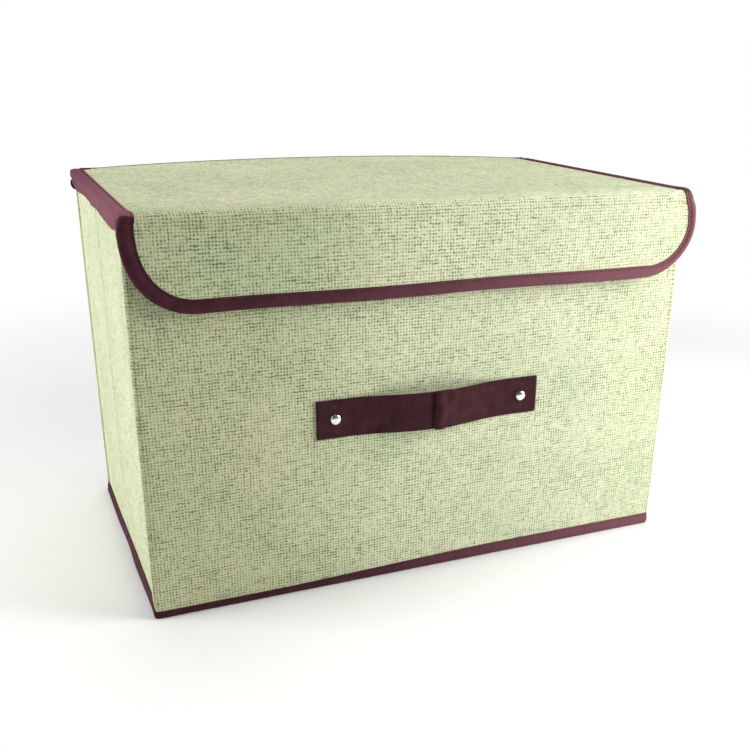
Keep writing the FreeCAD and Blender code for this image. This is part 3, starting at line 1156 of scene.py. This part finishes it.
def make_strap():
    """Two sewn halves. The right one folds over the left one's end in a rounded pleat."""
    depth = strap_thickness / 2
    fold = 1.25
    climb = 12
    tip = 0.6
    turned_stations = 11
    pleat_rise = strap_peak - box("strap_pleat")[0].y - fold * 0.4 - 0.7

    def right_line(x):
        rise = ease((climb + 6 - x) / climb)
        ridge = 0.9 * exp(-((x - 2.6) / 2.4) ** 2)
        valley = 0.7 * exp(-((x - 7.8) / 2.6) ** 2)
        return strap_line(x) + depth - rise * pleat_rise - ridge + valley

    left = steps(-strap_end, -strap_seam, 16) + steps(-strap_seam, 12, 70)[1:]
    left = [(x, strap_line(x) + depth) for x in left]
    right = steps(strap_end, strap_seam, 16) + steps(strap_seam, tip, 70)[1:]
    right = [(x, right_line(x)) for x in right]
    end_y = right[-1][1]
    for angle in angles(0, 180, 8)[1:]:
        right.append((tip - fold * sin(angle), end_y + fold * (1 - cos(angle)) / 1.6))
    right.append((tip + 5, right[-1][1] + 0.1))
    right.reverse()

    half = strap_height / 2 - hem
    for name, stations, sign, nodes in (
        ("strap_left_half", left, -1, ["strap_tab_left", "strap_left", "strap_grip"]),
        ("strap_right_half", right, 1, ["strap_tab_right", "strap_right", "strap_pleat"]),
    ):
        start = Vector((sign * strap_seam, strap_face, strap_middle)) * MM
        end = Vector((sign * grip_half, strap_face, strap_middle)) * MM
        made = strap_piece(name, stations, nodes)
        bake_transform(made)
        row = [s for s in stations if abs(s[0]) < strap_end - 1.5]
        if sign > 0:
            row = row[turned_stations:]
        for edge, height in (("low", -half), ("high", half)):
            places = [Vector((x, y, strap_middle + height)) for x, y in row]
            path = along_path(places, UP, [t.cross(UP) for t in tangents(places)])
            label = f"{name}_{edge}_stitches"
            made = stitch_line(label, path, depth - 0.02, MAROON_THREAD, None, strap_pitch)
            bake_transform(made)
        for label, where in (("seam", strap_seam + 0.6), ("end", strap_end - 2.0)):
            x = sign * where
            places = [Vector((x, strap_face, strap_middle + h)) for h in steps(-half, half, 12)]
            path = along_path(places, RIGHT, -BACK)
            label = f"{name}_{label}_stitches"
            stitch_line(label, path, 0.0, MAROON_THREAD, "front_wall", strap_pitch)


def lathe(grids, centre, section, turns=40):
    """A turned solid about an axis along Y through centre, from (radius, y) points."""
    ring = [tau * j / turns for j in range(turns)]
    rows = []
    for radius, y in section:
        across = [RIGHT * (radius * cos(a)) + UP * (radius * sin(a)) for a in ring]
        rows.append([centre + BACK * y + p for p in across])
    uvs = [[(j, radius) for j in range(turns)] for radius, _ in section]
    grids.add(rows, uvs, loop=True, caps=True)


def make_rivets():
    """Domed heads with a thin rim, their shanks, and washers inside under the peened ends."""
    low, high = box("rivets")
    washer_low, washer_high = box("rivet_washers")
    head = (high.z - low.z) / 2
    face = strap_face
    inside = washer_high.y
    peen = 2.4
    section = [(0.02, low.y)]
    for angle in angles(8, 72, 10):
        y = face - 0.35 - (face - low.y - 0.35) * cos(angle)
        section.append((head * sin(angle) * 0.97, y))
    section += [(head * 0.98, face - 0.45), (head, face - 0.25), (head * 0.97, face - 0.02)]
    section += [(1.6, face - 0.02), (1.6, inside), (peen * 0.95, inside), (peen, inside + 0.2)]
    section += [(peen * 0.8, high.y - 0.05), (peen * 0.5, high.y)]
    section += [(0.9, high.y - 0.1), (0.02, high.y - 0.15)]
    outer = washer_high.z - strap_middle
    ring = [(1.65, washer_low.y), (outer - 0.2, washer_low.y), (outer, washer_low.y + 0.15)]
    ring += [(outer, inside - 0.15), (outer - 0.25, inside), (1.65, inside)]
    heads = Grids()
    washers = Grids()
    for sign in (-1, 1):
        centre = Vector((sign * (high.x - head), 0, strap_middle))
        lathe(heads, centre, section)
        lathe(washers, centre, ring)
    heads.make("rivet_heads", METAL, "front_wall", ["rivets"])
    washers.make("washers", METAL, "front_wall", ["rivet_washers"])


# Base

def make_base():
    """The lining and the cloth of the two base leaves, and the soft gussets beside them."""
    for part, sign in ENDS:
        low, high = box(f"base_{part}_lining")
        body = f"base_{part}_leaf"
        for kind, z, facing in (("lining", high.z, 1), ("cloth", low.z - leaf_cloth_drop, -1)):
            rows = []
            for y in steps(panel_far, panel_near, 30):
                half = high.x - (panel_far - y)
                row = []
                for x in steps(-half, half, 60):
                    quilt = -0.12 * (1 - sin(x * 0.06 + 1) * sin(y * 0.075 + 2)) if facing > 0 else 0.0
                    row.append(Vector((x, sign * y, z + quilt)))
                rows.append(row[::-sign * facing])
            sheet = Grids().add(rows, from_above)
            nodes = [f"base_{part}_{kind}"]
            sheet.make(f"leaf_{part}_{kind}_sheet", LINING, body, nodes, lining_thickness)
        y = sign * (panel_near + leaf_seam_inset)
        places = [Vector((x, y, high.z)) for x in steps(-leaf_seam_half, leaf_seam_half, 30)]
        path = along_path(places, BACK, UP)
        stitch_line(f"leaf_{part}_stitches", path, 0.0, MAROON_THREAD, body)
    for side, sign_x in SIDES:
        for part, sign_y in ENDS:
            node = f"gusset_{side}_{part}"
            low, high = box(node)
            wall_x = max(abs(low.x), abs(high.x))
            long_x = box(f"base_{part}_lining")[1].x
            rows = []
            for y in steps(panel_far, panel_near, 24):
                inner = long_x + 0.3 - (panel_far - y)
                row = []
                for share in steps(0, 1, 24):
                    pucker = 0.25 * sin(14 * share + y * 0.04) * sin(pi * share)
                    x = sign_x * mix(inner, wall_x, share)
                    row.append(Vector((x, sign_y * y, high.z - 0.3 + pucker)))
                rows.append(row[::-sign_x * sign_y])
            sheet = Grids().add(rows, from_above)
            body = f"{side}_{part}_panel"
            made = sheet.make(node + "_cloth", LINING, body, [node], cloth_thickness)
            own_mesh(made)


# Corners and creases of the bellows

def spine(name, material, bodies, rows_of, print_start=0.0, facing=1):
    """A narrow strip of cloth across a fold of the walls. rows_of(share) gives its points from
    bottom to top, for share 0 at the first body and 1 at the second. Its face looks out of the
    box, or into it where facing is -1."""
    columns = steps(0, 1, 12)
    rows = [list(points) for points in zip(*[rows_of(share) for share in columns])]
    uvs = [[(print_start + share * 0.3, row[0].z) for share in columns] for row in rows]
    first = rows[0][0]
    normal = (rows[0][1] - first).cross(rows[1][0] - first)
    if facing * normal.dot(Vector((first.x, first.y, 0))) < 0:
        rows = [row[::-1] for row in rows]
        uvs = [row[::-1] for row in uvs]
    made = Grids().add(rows, uvs).make(name, material, None, (), cloth_thickness)
    if len(bodies) == 1:
        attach(made, *bodies)
    else:
        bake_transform(made)


def make_corner(side, sign_x, part, sign_y, joined):
    """The cover and tapes round one upright corner. Where no joint joins the two bodies, the
    cloth rides on the long wall as a round knuckle inside the panel's end."""
    pivot = Vector((sign_x * (half_width - wall_thickness), sign_y * panel_far, 0))
    from_y = sign_y * inner_half_depth
    to_y = sign_y * panel_far

    def at(share, radius, z):
        if joined:
            return Vector((pivot.x + sign_x * radius, mix(from_y, to_y, share), z))
        angle = radians(90 * share)
        z -= 0.3 if z > body_height - 0.1 else 0
        return pivot + Vector((sign_x * radius * cos(angle), -sign_y * radius * sin(angle), z))

    def cover_rows(share):
        heights = steps(base_height - 0.5, body_height - base_height + 0.5, 40)
        if not joined:
            return [at(share, wall_thickness - 1.2, z) for z in heights]
        wrap = [soften(Vector((sign_x * (half_width + 0.25), from_y, z))) for z in heights]
        flat = [soften(Vector((sign_x * (half_width - tape), to_y, z))) for z in heights]
        return [a.lerp(b, share) for a, b in zip(wrap, flat)]

    radius = wall_thickness if joined else wall_thickness - 0.9

    def base_rows(share):
        uneven = side == "left" and part == "front"
        height = mix(left_corner_tape, left_side_tape, share) if uneven else base_height
        return [at(share, radius, z) for z in steps(0, height, 5)]

    def rim_rows(share):
        rows = [at(share, radius, z) for z in steps(body_height - base_height, body_height, 5)]
        return rows + [at(share, r, body_height) for r in steps(radius, 0, 5)[1:]]

    bodies = ["front_wall" if part == "front" else "back_wall"]
    if joined:
        bodies.append(f"{side}_{part}_panel")
    label = f"{part}_{side}_corner"
    spine(label + "_cover", LINEN, bodies, cover_rows, (2 + sign_x / 2) * shade_period)
    spine(label + "_base_tape", TAPE, bodies, base_rows)
    spine(label + "_rim_tape", TAPE, bodies, rim_rows)


def make_crease(side, sign):
    """The cover, lining and tapes across the fold in the middle of a side."""
    def at(share, out, z):
        return Vector((sign * (half_width + out), mix(panel_near, -panel_near, share), z))

    def cover_rows(share):
        return [soften(at(share, cover_out, z)) for z in steps(tape, body_height - tape, 40)]

    def lining_rows(share):
        return [at(share, lining_out, z) for z in steps(tape, body_height - tape, 20)]

    def tape_rows(share, outer, low, inner):
        height = tape_height("rim" if low else "base", side, 0.0)
        flare = 0.0 if low else base_flare(side, 0)
        section = [(flare * (1 - z / height), z) for z in outer]
        section += [(out, low) for out in steps(0, -wall_thickness, 4)[1:]]
        section += [(-wall_thickness, z) for z in inner[1:]]
        return [at(share, out, z) for out, z in section]

    def base_rows(share):
        height = tape_height("base", side, 0)
        return tape_rows(share, steps(height, 0, 4), 0, steps(0, base_height, 4))

    def rim_rows(share):
        low = body_height - tape_height("rim", side, 0)
        return tape_rows(share, steps(low, body_height, 4), body_height, steps(body_height, low, 4))

    bodies = [side + "_rear_panel", side + "_front_panel"]
    label = side + "_crease"
    spine(label + "_cover", LINEN, bodies, cover_rows, (2 + sign / 2) * shade_period)
    spine(label + "_lining", LINING, bodies, lining_rows, facing=-1)
    spine(label + "_base_tape", TAPE, bodies, base_rows)
    spine(label + "_rim_tape", TAPE, bodies, rim_rows)


def make_folds():
    """All corners and creases. The loop of the bellows is open at the right front corner."""
    make_corner("left", -1, "front", -1, joined=True)
    make_corner("left", -1, "rear", 1, joined=True)
    make_corner("right", 1, "rear", 1, joined=True)
    make_corner("right", 1, "front", -1, joined=False)
    for side, sign in SIDES:
        make_crease(side, sign)


def finish_boards():
    """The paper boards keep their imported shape, and get their finish."""
    for name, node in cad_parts.items():
        if name.endswith("_board"):
            for slot in node.material_slots:
                slot.link = "OBJECT"
                slot.material = BOARD


# Camera, floor and light, in metres

def make_camera():
    """The photograph's viewpoint, found from the box's corners in it."""
    picture = 750
    focal_pixels = 970.04
    centre_pixel = (413.5, 455.3)
    place = Vector((-0.2598, -0.6624, 0.3355))
    yaw, pitch, roll = (radians(a) for a in (24.15, 22.30, 1.10))
    data = bpy.data.cameras.new("camera")
    data.sensor_width = 36.0
    data.lens = data.sensor_width * focal_pixels / picture
    data.shift_x = (picture / 2 - centre_pixel[0]) / picture
    data.shift_y = (centre_pixel[1] - picture / 2) / picture
    data.clip_start = 0.01
    camera = bpy.data.objects.new("camera", data)
    forward = Vector((sin(yaw) * cos(pitch), cos(yaw) * cos(pitch), -sin(pitch)))
    right = forward.cross(UP).normalized()
    up = right.cross(forward)
    tilted_right = right * cos(roll) + up * sin(roll)
    tilted_up = up * cos(roll) - right * sin(roll)
    turn = Matrix((tilted_right, tilted_up, -forward)).transposed()
    camera.matrix_world = Matrix.Translation(place) @ turn.to_4x4()
    bpy.context.collection.objects.link(camera)
    bpy.context.scene.camera = camera


def area_light(name, place, target, size, watts):
    """A soft square lamp that looks at a point."""
    data = bpy.data.lights.new(name, "AREA")
    data.shape = "SQUARE"
    data.size = size
    data.energy = watts
    lamp = bpy.data.objects.new(name, data)
    place = Vector(place)
    turn = (Vector(target) - place).to_track_quat("-Z", "Y").to_matrix()
    lamp.matrix_world = Matrix.Translation(place) @ turn.to_4x4()
    bpy.context.collection.objects.link(lamp)


def make_stage():
    """A pale floor that fades to white round the box, and soft lamps."""
    mesh = bpy.data.meshes.new("floor")
    reach = 6.0
    corners = [(-reach, -reach), (reach, -reach), (reach, reach), (-reach, reach)]
    mesh.from_pydata([(x, y, -0.1 * MM) for x, y in corners], [], [(0, 1, 2, 3)])
    floor = bpy.data.objects.new("floor", mesh)
    bpy.context.collection.objects.link(floor)
    s = Shader("floor", roughness=1.0, gloss=0.0)
    place = s.add("TexCoord", output="Object")
    distance = s.add("VectorMath", [place], "Value", operation="LENGTH")
    seen = s.ray("Is Camera Ray", "Is Glossy Ray", "Is Transmission Ray")
    pale = Value(s, s.surface.outputs[0])
    blend = s.add("MixShader", [s.span(distance, 0.35, 0.9) * seen, pale, s.add("Emission")])
    s.put(s.nodes["Material Output"].inputs[0], blend)
    mesh.materials.append(s.finish((0.93, 0.93, 0.93, 1)))

    world = bpy.data.worlds.new("studio")
    bpy.context.scene.world = world
    world.use_nodes = True
    w = Maker(world.node_tree)
    soft = w.nodes["Background"]
    w.put(soft.inputs["Color"], (1, 1, 1, 1))
    w.put(soft.inputs["Strength"], 0.12)
    white = w.add("Background", {"Color": (1, 1, 1, 1)})
    seen = w.ray("Is Camera Ray", "Is Transmission Ray")
    blend = w.add("MixShader", [seen, Value(w, soft.outputs[0]), white])
    w.put(w.nodes["World Output"].inputs[0], blend)

    area_light("left_lamp", (-1.5, 0.25, 0.7), (-0.1, 0, 0.12), 0.9, 18.5)
    area_light("right_lamp", (0.6, -0.42, 0.4), (0.1, -0.1, 0.12), 0.45, 6.15)
    area_light("top_lamp", (0.0, 0.3, 1.8), (0, 0, 0.1), 1.2, 16)


make_camera()
make_stage()
make_long_walls()
make_side_panels()
make_folds()
make_lid()
make_lid_bindings()
make_flap()
make_lid_boards()
make_hinge_tape()
make_strap()
make_rivets()
make_base()
finish_boards()
bpy.context.scene.view_settings.view_transform = "Standard"
